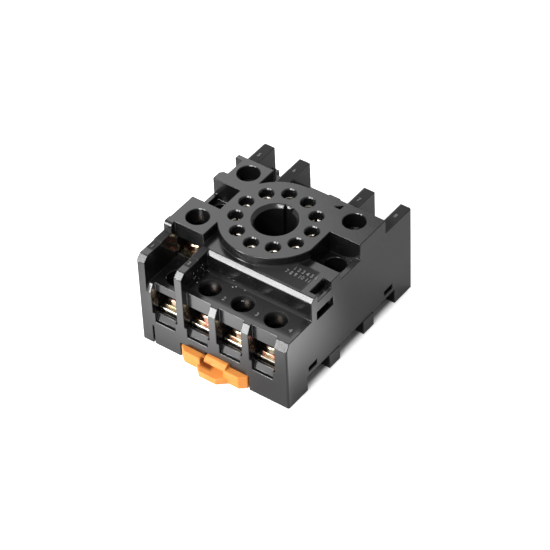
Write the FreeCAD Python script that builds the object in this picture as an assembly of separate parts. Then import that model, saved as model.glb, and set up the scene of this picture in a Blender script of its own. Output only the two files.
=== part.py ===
import FreeCAD, Part
import math
import os
from FreeCAD import Vector

# Eleven-pin plug-in relay socket with two tiers of captive screw terminals.
# X runs to the right, Y to the rear and Z up. The socket is drawn about the middle of its
# moulded body, on the plane z = 0 of its feet, and moved at export so that the origin
# lies at the bottom centre of its bounding box. All sizes are in millimetres.

# Body
BODY_W = 42.7            # overall width of the housing
BODY_D = 50.2            # overall depth of the housing
WALL = 1.9               # outer wall round the base plate
CORNER_R = 0.5           # rounding of the upright corners

# Levels above the feet
RAIL_PLANE_Z = 4.4       # face that lies on the mounting rail
BASE_PLATE_T = 2.0       # thickness of the base plate over the rail
LOW_SILL_Z = 9.2         # sill that carries the lower terminal plates
LOW_ROOF_Z = 15.8        # roof over the lower terminals
LOW_DECK_Z = 20.0        # deck over the lower terminals at the front
REAR_DECK_Z = 19.1       # the same at the rear, between the two middle fins
BAY_DECK_Z = 18.3        # deck in the bays under the upper terminals, which carries their plates
UPPER_ROOF_Z = 24.6      # roof over the upper terminals
SEAT_Z = 29.0            # relay seat and the upper terminal blocks

# Depths below the seat
SHELF_DROP = 2.6         # front shelf and tall front walls
FIN_DROP = 4.0           # rear fins
RECESS_WALL_DROP = 4.7   # outer wall beside the recesses and the retaining slots
RECESS_DROP = 6.1        # floor of the two fixing recesses
SLOT_DEPTH = 10.0        # retaining slots

# Relay seat
PIN_COUNT = 11
PIN_CIRCLE_D = 19.05
PIN_HOLE_R = 1.7
PIN_HOLE_DEPTH = 2.8     # round part of a pin hole, above the sleeve
FIRST_PIN_DEG = -90.0    # one pin faces the front
SEAT_Y = 0.5             # centre of the seat, behind the middle of the body
SEAT_R = 13.45
SEAT_HALF_W = 12.9       # flats of the seat beside the recesses
GUIDE_R = 4.85
GUIDE_DEPTH = 17.0
GUIDE_LEAD = 0.45        # chamfer at the mouth of the guide bore
KEYWAY_W = 2.4
KEYWAY_REACH = 5.25      # from the guide axis to the keyway's bottom

# Fixing holes
FIX_INSET = 4.85         # axis of each hole, inside the side of the body (33 mm apart)
FIX_R = 2.6
FIX_Y = 1.0
RECESS_Y = 0.3
RECESS_HALF_D = 3.95
RECESS_WALL_T = 1.45     # outer wall beside each recess

# Upper blocks round the seat
BLOCK_FRONT_INSET = 12.0  # front face of the left block, behind the front of the body
BLOCK_REAR_INSET = 10.6   # rear face of the blocks, before the rear of the body
BLOCK_LEFT_W = 10.65      # from the left face to the inner side of the left blocks
BLOCK_LEFT_INSET = 0.3    # left side of those blocks, inside the face below them
BLOCK_RIGHT_W = 10.95     # width of the right rear block
SHELF_INSET = 10.05       # front face of the shelf, behind the front of the body
SHELF_CHAMFER = 1.0
CORE_HOLE_SIDE = 1.65     # three-cornered hole beside the right rear block
CORE_HOLE_INSET = 2.7     # its front side, before the rear face of the blocks

# Retaining slots for a hold-down spring, one front right and one rear left
SLOT_W = 1.3
SLOT_L = 5.5
SLOT_WALL_T = 0.95        # housing wall outside the slot
SLOT_END = 2.35           # from the shelf's face to the slot
SLOT_REAR_END = 1.5       # from the rear block's face to the slot
SLOT_CORNER = 0.8         # cut corner of the block beside the rear slot
WINDOW_H = 2.4            # side window at the bottom of the slot
WINDOW_OVER = 0.5         # how far the window runs past the slot at each end

# Terminals
TERMINAL_PITCH = 9.4
ROW_INSET = 6.1           # lower screw axis, behind the face of the body
FRONT_HALF_W = 3.65       # half width of a front terminal chamber
REAR_HALF_W = 3.15
UPPER_HALF_W = 3.3
UPPER_INSET = 4.3         # upper screw axis, behind the face of its block
UPPER_LEFT_FRONT_INSET = 5.75   # upper screw axes, inside the side of the body
UPPER_LEFT_REAR_INSET = 6.35
UPPER_RIGHT_REAR_INSET = 5.85
ACCESS_R = 2.8            # screwdriver hole over each screw
CHAMBER_BACK = 3.6        # from the screw axis to the chamber's inner wall
DECK_FRONT = 4.4          # from the screw axis to the deck's edge
SILL_IN = 3.9             # inner and outer face of the sill before the plate
SILL_OUT = 4.7
MOUTH_Z = 10.0            # bottom of the full-width mouth
NOTCH_HALF_W = 2.95
NOTCH_Z = 7.3
BARRIER_DROP = 2.1        # steep chamfer at the ends of the low barriers
BARRIER_RUN = 1.1

# Tall walls at the front and fins at the rear
TALL_WALL_T = 2.3         # left outer wall
MID_WALL_T = 2.1          # wall between the first two front terminals
TALL_CHAMFER_Z = 1.7
TALL_CHAMFER_Y = 1.5
HUMP_L = 1.4              # where the left wall rises to the block behind it
HUMP_R = 1.1
WALL_STEP_INSET = 6.8     # where the tops of both walls drop by a hair
WALL_STEP = 0.25
FIN_T = 3.1
OUTER_FIN_T = 3.05

# Contacts
METAL_T = 1.0
PLATE_SIDE_CLEAR = 0.25   # between a plate and the sides of its chamber
PLATE_BACK = 3.5          # from the screw axis to the plate's inner edge
PLATE_FRONT = 3.6         # and to its outer edge
UPPER_PLATE_FRONT = 4.4
NUT_W = 4.4               # square threaded nut under the plate
NUT_H = 1.6
STRIP_W = 2.0
STRIP_CLEAR = 0.25
BYPASS_X = 0.5            # bend of an outer strip, outside the wall between two terminals
BYPASS_Y = 0.95           # and behind their chambers
SLEEVE_IN_R = 1.25
SLEEVE_R = 1.85
SLEEVE_H = 7.9
SLEEVE_SLIT = 0.5
LEG_W = 2.2
LEG_T = 0.7
POCKET_CLEAR = 0.45       # round a sleeve in its pocket
SLEEVE_TOP_GAP = 0.1

# Clamp screws and washers
SCREW_R = 1.7
THREAD_CLEAR = 0.08
SCREW_LEN = 5.8
HEAD_R = 2.9
HEAD_H = 2.0
SLOT_DRIVE_W = 0.9
SLOT_DRIVE_DEPTH = 1.1
WASHER_W = 5.8
WASHER_T = 0.9
WASHER_HOLE_CLEAR = 0.2
SEAT_GAP = 0.05           # between pieces that turn or lift on each other
SCREW_END_CLEAR = 0.3

# Base plate
BASE_FIT = 0.1            # round the base plate in the housing
PAD_W = 4.4               # pads that carry the contacts' plates
PAD_CLEAR = 0.2
RAIL_W = 35.4             # channel for the rail
CHANNEL_Y = 0.2           # middle of the channel
FOOT_W = 4.2              # feet inside the rail
FOOT_GAP = 13.8           # between the middles of the front and rear feet
FOOT_Y = 0.2
FOOT_IN_X = 11.0          # inner end of the feet
FOOT_PART_GAP = 0.3       # parting line between a foot and the wall over it
HOOK_Z = 1.6
HOOK_T = 1.6
HOOK_REACH = 1.3
HOOK_W = 18.0
LATCH_W = 2.8
LATCH_REACH = 1.3
LATCH_GAP = 0.1
LATCH_WINDOW_H = 1.5
LATCH_WINDOW_Z = 5.6
LATCH_Y = 15.3
LATCH_CLEAR = 0.25
SKIRT_SLIT_INSET = 3.45   # from the left face to the middle of the slit
SKIRT_SLIT_W = 0.5
SKIRT_SLIT_H = 5.7

# Rail clip
CLIP_W = 19.2
CLIP_FLOOR_Z = 0.3
CLIP_TOP_Z = 3.9
CLIP_OPENING_CLEAR = 0.4
CLIP_PROUD = 1.4          # wings, before the face of the body
JAW_PROUD = 3.35
JAW_X = 0.3
JAW_W = 4.9
JAW_FLARE = 2.2
JAW_TOP_Z = 2.0
WING_CHAMFER = 1.7
HOOD_X = 1.0              # hood over the right part of the pry slot
HOOD_W = 6.2
HOOD_PROUD = 0.4          # its top edge, before the face of the body
HOOD_NOSE_Z = 4.2         # bottom of its slope, over the wings' front face
HOOD_TOP_Z = 5.0
PRY_X = 0.1
PRY_W = 6.6
PRY_DEPTH = 2.6
PRY_TOP_Z = 3.5
CLIP_LIP_REACH = 1.5
CLIP_LIP_BOTTOM_Z = 1.7
CLIP_LIP_T = 1.5
TONGUE_W = 3.2
TONGUE_FLANGE_W = 4.6
TONGUE_CLEAR = 0.3
TONGUE_FLANGE_T = 0.9
TONGUE_STEP_T = 1.5
CLIP_TRAVEL = 3.0
STOP_SPARE = 0.7
LOOP_W = 10.0
LOOP_STRAIGHT = 1.0       # between the loop's round ends
LOOP_T = 1.0
LOOP_START = 3.9          # behind the front edge of the rail channel

# Levels and places that follow from the sizes above
BASE_TOP_Z = RAIL_PLANE_Z + BASE_PLATE_T
SHELF_Z = SEAT_Z - SHELF_DROP
FIN_Z = SEAT_Z - FIN_DROP
RECESS_WALL_Z = SEAT_Z - RECESS_WALL_DROP
RECESS_Z = SEAT_Z - RECESS_DROP
SLOT_FLOOR_Z = SEAT_Z - SLOT_DEPTH
FRONT_Y = -BODY_D / 2
REAR_Y = BODY_D / 2
LEFT_X = -BODY_W / 2
RIGHT_X = BODY_W / 2
CHANNEL_FRONT_Y = CHANNEL_Y - RAIL_W / 2
CHANNEL_REAR_Y = CHANNEL_Y + RAIL_W / 2
BLOCK_FRONT_Y = FRONT_Y + BLOCK_FRONT_INSET
BLOCK_REAR_Y = REAR_Y - BLOCK_REAR_INSET
SHELF_Y = FRONT_Y + SHELF_INSET
MID_WALL_X = -TERMINAL_PITCH
RIGHT_BAY_X = RIGHT_X - BLOCK_RIGHT_W
SLEEVE_TOP_Z = SEAT_Z - PIN_HOLE_DEPTH - SLEEVE_TOP_GAP
SPARE = 1.0               # how far cutters run past a face
FRAME_SHIFT = Vector(0, JAW_PROUD / 2, 0)


def box(x0, x1, y0, y1, z0, z1):
    """Box between two values on each axis."""
    return Part.makeBox(x1 - x0, y1 - y0, z1 - z0, Vector(x0, y0, z0))


def post(x, y, r, z0, z1):
    """Upright cylinder."""
    return Part.makeCylinder(r, z1 - z0, Vector(x, y, z0))


def slab(points, z0, z1):
    """Flat outline in plan, raised from z0 to z1."""
    wire = Part.makePolygon([Vector(x, y, z0) for x, y in points + points[:1]])
    return Part.Face(wire).extrude(Vector(0, 0, z1 - z0))


def side_prism(points, x0, x1):
    """Outline of (y, z) points, drawn across from x0 to x1."""
    wire = Part.makePolygon([Vector(x0, y, z) for y, z in points + points[:1]])
    return Part.Face(wire).extrude(Vector(x1 - x0, 0, 0))


def joined(shapes):
    """One clean solid from shapes that touch or overlap."""
    return shapes[0].multiFuse(shapes[1:]).removeSplitter() if len(shapes) > 1 else shapes[0]


def track(points, width, z0, z1):
    """Flat strip along a line of points, with round bends and square ends."""
    pieces = [post(x, y, width / 2, z0, z1) for x, y in points[1:-1]]
    for (x0, y0), (x1, y1) in zip(points, points[1:]):
        length = math.hypot(x1 - x0, y1 - y0)
        run = box(0, length, -width / 2, width / 2, z0, z1)
        run.rotate(Vector(0, 0, 0), Vector(0, 0, 1), math.degrees(math.atan2(y1 - y0, x1 - x0)))
        run.translate(Vector(x0, y0, 0))
        pieces.append(run)
    return joined(pieces)


def pin_place(number):
    """Plan position of a pin hole, counted clockwise from the front as seen from above."""
    angle = math.radians(FIRST_PIN_DEG - number * 360.0 / PIN_COUNT)
    radius = PIN_CIRCLE_D / 2
    return radius * math.cos(angle), SEAT_Y + radius * math.sin(angle)


class Terminal:
    """One screw terminal: where its screw stands, which way it faces, its tier and its pin."""

    def __init__(self, x, facing, upper, pin, bypass=False):
        self.x = x
        self.facing = facing
        self.upper = upper
        self.pin = pin_place(pin)
        self.bypass = bypass
        if upper:
            face = BLOCK_FRONT_Y if facing < 0 else BLOCK_REAR_Y
            self.y = face - facing * UPPER_INSET
            self.reach = UPPER_INSET
            self.half_w = UPPER_HALF_W
            self.plate_front = UPPER_PLATE_FRONT
            self.floor_z = BAY_DECK_Z
            self.deck_z = SEAT_Z
            self.roof_z = UPPER_ROOF_Z
        else:
            self.y = facing * (BODY_D / 2 - ROW_INSET)
            self.reach = ROW_INSET
            self.half_w = FRONT_HALF_W if facing < 0 else REAR_HALF_W
            self.plate_front = PLATE_FRONT
            self.floor_z = LOW_SILL_Z
            self.deck_z = LOW_DECK_Z
            self.roof_z = LOW_ROOF_Z
        self.plate_z = self.floor_z + METAL_T
        self.plate_half_w = self.half_w - PLATE_SIDE_CLEAR

    def room(self, half_w, inner, outer, z0, z1):
        """Box beside the screw axis: inner and outer are distances towards the wire's side."""
        ya, yb = sorted((self.y + self.facing * inner, self.y + self.facing * outer))
        return box(self.x - half_w, self.x + half_w, ya, yb, z0, z1)

    def route(self):
        """Plan line of the strip from the plate to the pin."""
        start = (self.x, self.y - self.facing * (PLATE_BACK - STRIP_W / 2))
        if not self.bypass:
            return [start, self.pin]
        side = 1 if self.x < 0 else -1
        corner = (self.x + side * (self.plate_half_w - STRIP_W / 2), start[1])
        turn = (-side * (TERMINAL_PITCH + BYPASS_X), self.y - self.facing * (CHAMBER_BACK + BYPASS_Y))
        return [corner, turn, self.pin]


def make_terminals():
    """All eleven terminals, clockwise from the front left one, lower tier first."""
    row = [(k - 1.5) * TERMINAL_PITCH for k in range(4)]
    front_pins = [1, 0, 10, 9]
    rear_pins = [4, 5, 6, 7]
    front = [Terminal(x, -1, False, pin, pin == 1) for x, pin in zip(row, front_pins)]
    rear = [Terminal(x, 1, False, pin, pin in (4, 7)) for x, pin in zip(row, rear_pins)]
    upper = [
        Terminal(LEFT_X + UPPER_LEFT_FRONT_INSET, -1, True, 2),
        Terminal(LEFT_X + UPPER_LEFT_REAR_INSET, 1, True, 3),
        Terminal(RIGHT_X - UPPER_RIGHT_REAR_INSET, 1, True, 8),
    ]
    return front + rear + upper


TERMINALS = make_terminals()


def contact(t):
    """Plate with threaded nut, strip, leg and split sleeve for one pin."""
    bottom = t.floor_z
    px, py = t.pin
    plate = t.room(t.plate_half_w, -PLATE_BACK, t.plate_front, bottom, t.plate_z)
    nut = t.room(NUT_W / 2, -NUT_W / 2, NUT_W / 2, bottom - NUT_H, bottom)
    strip = track(t.route(), STRIP_W, bottom, t.plate_z)
    sleeve_z = SLEEVE_TOP_Z - SLEEVE_H
    sleeve = post(px, py, SLEEVE_R, sleeve_z, SLEEVE_TOP_Z)
    outward = math.degrees(math.atan2(py - SEAT_Y, px))
    leg_z = min(bottom, sleeve_z)
    leg = box(SLEEVE_R - LEG_T, SLEEVE_R, -LEG_W / 2, LEG_W / 2, leg_z, sleeve_z + LEG_W)
    slit = box(-SLEEVE_R - SPARE, SLEEVE_R + SPARE, -SLEEVE_SLIT / 2, SLEEVE_SLIT / 2,
               sleeve_z + LEG_W, SLEEVE_TOP_Z + SPARE)
    for piece in (leg, slit):
        piece.rotate(Vector(0, 0, 0), Vector(0, 0, 1), outward + (90 if piece is slit else 0))
        piece.translate(Vector(px, py, 0))
    body = joined([plate, nut, strip, sleeve, leg])
    thread = post(t.x, t.y, SCREW_R + THREAD_CLEAR, bottom - NUT_H - SPARE, t.plate_z + SPARE)
    bore = post(px, py, SLEEVE_IN_R, sleeve_z, SLEEVE_TOP_Z + SPARE)
    return body.cut(joined([thread, slit, bore]))


def contact_pocket(t):
    """Room for a contact in the housing, open to the base plate below."""
    px, py = t.pin
    strip = track(t.route(), STRIP_W + 2 * STRIP_CLEAR, BASE_TOP_Z - SPARE, t.plate_z)
    well = post(px, py, SLEEVE_R + POCKET_CLEAR, BASE_TOP_Z - SPARE, SEAT_Z - PIN_HOLE_DEPTH)
    hole = post(px, py, PIN_HOLE_R, SEAT_Z - PIN_HOLE_DEPTH - SPARE, SEAT_Z + SPARE)
    return [strip, well, hole]


def chamber(t):
    """Room for the plate, washer and screw, with the wire's mouth and the screwdriver hole."""
    rooms = [t.room(t.half_w, -CHAMBER_BACK, SILL_IN, BASE_TOP_Z - SPARE, t.roof_z)]
    rooms.append(t.room(t.half_w, -CHAMBER_BACK, t.reach + SPARE, t.floor_z, t.roof_z))
    rooms.append(post(t.x, t.y, ACCESS_R, t.roof_z - SPARE, t.deck_z + SPARE))
    if not t.upper:
        sill = t.room(t.half_w, SILL_OUT, t.reach + SPARE, t.floor_z - SPARE, MOUTH_Z)
        rooms = [r.cut(sill) for r in rooms]
        rooms.append(t.room(NOTCH_HALF_W, SILL_OUT, t.reach + SPARE, NOTCH_Z, MOUTH_Z))
        rooms.append(t.room(t.half_w, DECK_FRONT, t.reach + SPARE, MOUTH_Z, SEAT_Z))
    return rooms


def lower_block():
    """Lower half of the body, up to the decks, with the steep chamfers of the low barriers."""
    block = box(LEFT_X, RIGHT_X, FRONT_Y, REAR_Y, 0, LOW_DECK_Z)
    fin_in = TERMINAL_PITCH - FIN_T / 2
    fin_out = TERMINAL_PITCH + FIN_T / 2
    cuts = [box(-fin_in, fin_in, BLOCK_REAR_Y, REAR_Y + SPARE, REAR_DECK_Z, LOW_DECK_Z + SPARE)]
    bays = [
        (LEFT_X + TALL_WALL_T, MID_WALL_X - MID_WALL_T / 2, FRONT_Y - SPARE, BLOCK_FRONT_Y),
        (LEFT_X + OUTER_FIN_T, -fin_out, BLOCK_REAR_Y, REAR_Y + SPARE),
        (fin_out, RIGHT_X - OUTER_FIN_T, BLOCK_REAR_Y, REAR_Y + SPARE),
    ]
    for x0, x1, y0, y1 in bays:
        cuts.append(box(x0, x1, y0, y1, BAY_DECK_Z, LOW_DECK_Z + SPARE))
    steep = BARRIER_DROP / BARRIER_RUN * SPARE
    spans = [
        (-1, MID_WALL_X + MID_WALL_T / 2, RIGHT_X + SPARE, LOW_DECK_Z),
        (-1, LEFT_X + TALL_WALL_T, MID_WALL_X - MID_WALL_T / 2, BAY_DECK_Z),
        (1, -fin_in, fin_in, REAR_DECK_Z),
    ]
    for facing, x0, x1, top in spans:
        edge = facing * BODY_D / 2
        cuts.append(side_prism([
            (edge - facing * BARRIER_RUN, top),
            (edge + facing * SPARE, top - BARRIER_DROP - steep),
            (edge + facing * SPARE, top + SPARE),
            (edge - facing * BARRIER_RUN, top + SPARE),
        ], x0, x1))
    return block.cut(joined(cuts))


def tall_wall(x0, x1, y_end):
    """Front wall with a chamfered nose and a slight step along its top."""
    step_y = FRONT_Y + WALL_STEP_INSET
    return side_prism([
        (FRONT_Y, BAY_DECK_Z - BARRIER_DROP - SPARE),
        (FRONT_Y, SHELF_Z - TALL_CHAMFER_Z),
        (FRONT_Y + TALL_CHAMFER_Y, SHELF_Z - WALL_STEP),
        (step_y, SHELF_Z - WALL_STEP),
        (step_y, SHELF_Z),
        (y_end, SHELF_Z),
        (y_end, BAY_DECK_Z - BARRIER_DROP - SPARE),
    ], x0, x1)


def hump():
    """Rounded rise of the left wall before the front left block."""
    y0 = BLOCK_FRONT_Y - HUMP_L
    rise = box(LEFT_X, LEFT_X + TALL_WALL_T, y0, BLOCK_FRONT_Y + SPARE, BAY_DECK_Z, SEAT_Z)
    nose = [e for e in rise.Edges if e.BoundBox.YMax < y0 + HUMP_L / 2 and e.BoundBox.ZMin > SHELF_Z]
    return rise.makeFillet(HUMP_R, nose)


def upper_block():
    """Relay seat, terminal blocks, shelf, recess floors, tall walls and fins."""
    bed = BAY_DECK_Z - SPARE
    seat = post(0, SEAT_Y, SEAT_R, bed, SEAT_Z)
    seat = seat.common(box(-SEAT_HALF_W, SEAT_HALF_W, FRONT_Y, REAR_Y, 0, SEAT_Z))
    left_x = LEFT_X + BLOCK_LEFT_W
    side_x = LEFT_X + BLOCK_LEFT_INSET
    recess_front = RECESS_Y - RECESS_HALF_D
    recess_rear = RECESS_Y + RECESS_HALF_D
    shelf = side_prism([
        (SHELF_Y, bed), (SHELF_Y, SHELF_Z - SHELF_CHAMFER), (SHELF_Y + SHELF_CHAMFER, SHELF_Z),
        (recess_front, SHELF_Z), (recess_front, bed),
    ], MID_WALL_X + MID_WALL_T / 2, RIGHT_X)
    parts = [
        seat,
        shelf,
        box(side_x, left_x, BLOCK_FRONT_Y, recess_front, bed, SEAT_Z),
        box(left_x, 0, BLOCK_FRONT_Y, recess_front, bed, SHELF_Z),
        box(side_x, RIGHT_X, recess_front, recess_rear, bed, RECESS_Z),
        box(side_x, LEFT_X + RECESS_WALL_T, recess_front, recess_rear, bed, RECESS_WALL_Z),
        box(RIGHT_X - RECESS_WALL_T, RIGHT_X, recess_front, recess_rear, bed, RECESS_WALL_Z),
        box(side_x, left_x, recess_rear, BLOCK_REAR_Y, bed, SEAT_Z),
        box(RIGHT_BAY_X, RIGHT_X, recess_rear, BLOCK_REAR_Y, bed, SEAT_Z),
        box(0, RIGHT_BAY_X, SEAT_Y, BLOCK_REAR_Y, bed, SEAT_Z),
        tall_wall(LEFT_X, LEFT_X + TALL_WALL_T, BLOCK_FRONT_Y),
        hump(),
        tall_wall(MID_WALL_X - MID_WALL_T / 2, MID_WALL_X + MID_WALL_T / 2, BLOCK_FRONT_Y),
    ]
    fins = [
        (LEFT_X, LEFT_X + OUTER_FIN_T),
        (-TERMINAL_PITCH - FIN_T / 2, -TERMINAL_PITCH + FIN_T / 2),
        (TERMINAL_PITCH - FIN_T / 2, TERMINAL_PITCH + FIN_T / 2),
        (RIGHT_X - OUTER_FIN_T, RIGHT_X),
    ]
    for x0, x1 in fins:
        parts.append(box(x0, x1, BLOCK_REAR_Y - SPARE, REAR_Y, bed, FIN_Z))
    block = joined(parts)
    hole_y = BLOCK_REAR_Y - CORE_HOLE_INSET
    hole = slab([(RIGHT_BAY_X, hole_y), (RIGHT_BAY_X - CORE_HOLE_SIDE, hole_y),
                 (RIGHT_BAY_X, hole_y + CORE_HOLE_SIDE)], LOW_DECK_Z, SEAT_Z + SPARE)
    return block.cut(hole)


def retaining_slots():
    """Slots for a hold-down spring with the low wall and the window outside each."""
    cuts = []
    for side, near in ((1, SHELF_Y + SLOT_END), (-1, BLOCK_REAR_Y - SLOT_REAR_END - SLOT_L)):
        outer = side * BODY_W / 2
        walls = sorted((outer - side * SLOT_WALL_T, outer - side * (SLOT_WALL_T + SLOT_W)))
        open_wall = sorted((outer - side * SLOT_WALL_T, outer + side * SPARE))
        y0, y1 = near, near + SLOT_L
        cuts.append(box(walls[0], walls[1], y0, y1, SLOT_FLOOR_Z, SEAT_Z + SPARE))
        cuts.append(box(open_wall[0], open_wall[1], y0, y1, RECESS_WALL_Z, SEAT_Z + SPARE))
        cuts.append(box(open_wall[0], open_wall[1], y0 - WINDOW_OVER, y1 + WINDOW_OVER,
                        SLOT_FLOOR_Z, SLOT_FLOOR_Z + WINDOW_H))
    corner_x = LEFT_X + BLOCK_LEFT_INSET
    rear_slot_y = BLOCK_REAR_Y - SLOT_REAR_END - SLOT_L
    cuts.append(slab([
        (corner_x - SPARE, rear_slot_y - SLOT_CORNER - SPARE),
        (corner_x + SLOT_CORNER, rear_slot_y),
        (corner_x - SPARE, rear_slot_y),
    ], RECESS_WALL_Z, SEAT_Z + SPARE))
    return cuts


def latch_places():
    """Side and y of the four latches between housing and base plate."""
    return [(side, y) for side in (-1, 1) for y in (-LATCH_Y, LATCH_Y)]


def underside():
    """Room for the base plate, the rail channel, the clip's opening and the latch windows."""
    cuts = [
        box(LEFT_X + WALL, RIGHT_X - WALL, FRONT_Y + WALL, REAR_Y - WALL, -SPARE, BASE_TOP_Z),
        box(LEFT_X - SPARE, RIGHT_X + SPARE, CHANNEL_FRONT_Y, CHANNEL_REAR_Y, -SPARE, RAIL_PLANE_Z),
    ]
    half = CLIP_W / 2 + CLIP_OPENING_CLEAR
    cuts.append(box(-half, half, FRONT_Y - SPARE, FRONT_Y + WALL + SPARE,
                    -SPARE, CLIP_TOP_Z + CLIP_OPENING_CLEAR))
    hood_half = HOOD_W / 2 + CLIP_OPENING_CLEAR
    cuts.append(box(HOOD_X - hood_half, HOOD_X + hood_half, FRONT_Y - SPARE, FRONT_Y + WALL + SPARE,
                    -SPARE, HOOD_TOP_Z + TONGUE_CLEAR))
    slit_x = LEFT_X + SKIRT_SLIT_INSET
    cuts.append(box(slit_x - SKIRT_SLIT_W / 2, slit_x + SKIRT_SLIT_W / 2,
                    FRONT_Y - SPARE, FRONT_Y + WALL, -SPARE, SKIRT_SLIT_H))
    for side, y in latch_places():
        x0, x1 = sorted((side * (BODY_W / 2 - WALL - SPARE), side * (BODY_W / 2 + SPARE)))
        half_l = LATCH_W / 2 + LATCH_CLEAR
        cuts.append(box(x0, x1, y - half_l, y + half_l,
                        LATCH_WINDOW_Z, LATCH_WINDOW_Z + LATCH_WINDOW_H))
    return cuts


def fixing_holes(z0, z1):
    """The two upright holes for fixing screws."""
    return [post(side * (BODY_W / 2 - FIX_INSET), FIX_Y, FIX_R, z0, z1) for side in (-1, 1)]


def guide_bore():
    """Keyed bore for the relay's guide post, with a chamfered mouth."""
    floor = SEAT_Z - GUIDE_DEPTH
    bore = post(0, SEAT_Y, GUIDE_R, floor, SEAT_Z + SPARE)
    mouth = Part.makeCone(GUIDE_R, GUIDE_R + GUIDE_LEAD, GUIDE_LEAD,
                          Vector(0, SEAT_Y, SEAT_Z - GUIDE_LEAD))
    key = box(-KEYWAY_W / 2, KEYWAY_W / 2, SEAT_Y, SEAT_Y + KEYWAY_REACH, floor, SEAT_Z + SPARE)
    return [bore, mouth, key]


def housing():
    """The moulded body."""
    block = box(LEFT_X, RIGHT_X, FRONT_Y, REAR_Y, 0, SEAT_Z)
    upright = [e for e in block.Edges if abs(e.tangentAt(e.FirstParameter).z) > 0.99]
    body = joined([lower_block(), upper_block()]).common(block.makeFillet(CORNER_R, upright))
    cuts = guide_bore() + retaining_slots() + underside()
    cuts += fixing_holes(BASE_TOP_Z - SPARE, SEAT_Z)
    for t in TERMINALS:
        cuts += chamber(t) + contact_pocket(t)
    return body.cut(cuts).removeSplitter()


def pad(t):
    """Pad on the base plate that holds a contact's plate up on either side of its nut."""
    return t.room(PAD_W / 2, -PLATE_BACK + PAD_CLEAR, PLATE_FRONT - PAD_CLEAR, BASE_TOP_Z, t.floor_z)


def nut_room(t):
    """Room for the nut and the end of the clamp screw in the pad and plate below."""
    under_head = t.plate_z + WASHER_T + 2 * SEAT_GAP
    end = under_head - SCREW_LEN - SCREW_END_CLEAR
    half = NUT_W / 2 + PAD_CLEAR
    screw_half = SCREW_R + PAD_CLEAR
    return [
        t.room(PAD_W, -half, half, max(end, BASE_TOP_Z), t.floor_z + SPARE),
        t.room(screw_half, -screw_half, screw_half, end, t.floor_z),
    ]


def clip_room():
    """Slot for the clip's tongue and the open room for its spring loop."""
    inner = FRONT_Y + WALL - SPARE
    half = TONGUE_W / 2 + TONGUE_CLEAR
    flange = TONGUE_FLANGE_W / 2 + TONGUE_CLEAR / 2
    ledge = RAIL_PLANE_Z + 2 * TONGUE_CLEAR
    loop_y = CHANNEL_FRONT_Y + LOOP_START
    slot = box(-half, half, inner, loop_y, -SPARE, BASE_TOP_Z + SPARE)
    groove = box(-flange, flange, inner, loop_y, ledge, BASE_TOP_Z + SPARE)
    room = box(-LOOP_W / 2 - TONGUE_CLEAR, LOOP_W / 2 + TONGUE_CLEAR,
               loop_y - CLIP_TRAVEL - TONGUE_CLEAR, loop_y + LOOP_W + LOOP_STRAIGHT + TONGUE_CLEAR,
               -SPARE, BASE_TOP_Z + SPARE)
    return [slot, groove, room]


def base_plate():
    """Insert that closes the housing from below, with feet, rear hook and contact pads."""
    x1 = BODY_W / 2 - WALL - BASE_FIT
    y0 = FRONT_Y + WALL + BASE_FIT
    y1 = REAR_Y - WALL - BASE_FIT
    cheek = CLIP_W / 2 + CLIP_OPENING_CLEAR
    parts = [box(-x1, x1, y0, y1, RAIL_PLANE_Z, BASE_TOP_Z)]
    parts.append(box(-x1, x1, CHANNEL_REAR_Y, y1, 0, RAIL_PLANE_Z))
    for side in (-1, 1):
        xa, xb = sorted((side * cheek, side * x1))
        parts.append(box(xa, xb, y0, CHANNEL_FRONT_Y, 0, RAIL_PLANE_Z))
        for row in (-1, 1):
            y = FOOT_Y + row * FOOT_GAP / 2
            xa, xb = sorted((side * FOOT_IN_X, side * x1))
            parts.append(box(xa, xb, y - FOOT_W / 2, y + FOOT_W / 2, 0, RAIL_PLANE_Z))
            xa, xb = sorted((side * x1, side * BODY_W / 2))
            parts.append(box(xa, xb, y - FOOT_W / 2, y + FOOT_W / 2, 0, RAIL_PLANE_Z - FOOT_PART_GAP))
    parts.append(box(-HOOK_W / 2, HOOK_W / 2, CHANNEL_REAR_Y - HOOK_REACH, CHANNEL_REAR_Y,
                     HOOK_Z, HOOK_Z + HOOK_T))
    parts += [pad(t) for t in TERMINALS]
    parts += [latch(side, y, x1) for side, y in latch_places()]
    cuts = clip_room() + fixing_holes(-SPARE, BASE_TOP_Z + SPARE)
    for t in TERMINALS:
        cuts += nut_room(t)
    return joined(parts).cut(cuts).removeSplitter()


def latch(side, y, x_edge):
    """Wedge-shaped snap nub on the side of the base plate."""
    z0 = LATCH_WINDOW_Z + LATCH_GAP
    reach = BASE_FIT + LATCH_REACH
    wedge = Part.makePolygon([
        Vector(side * x_edge, y - LATCH_W / 2, z0),
        Vector(side * (x_edge + reach), y - LATCH_W / 2, z0 + LATCH_GAP),
        Vector(side * (x_edge + reach), y - LATCH_W / 2, BASE_TOP_Z),
        Vector(side * x_edge, y - LATCH_W / 2, BASE_TOP_Z),
        Vector(side * x_edge, y - LATCH_W / 2, z0),
    ])
    return Part.Face(wedge).extrude(Vector(0, LATCH_W, 0))


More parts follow.
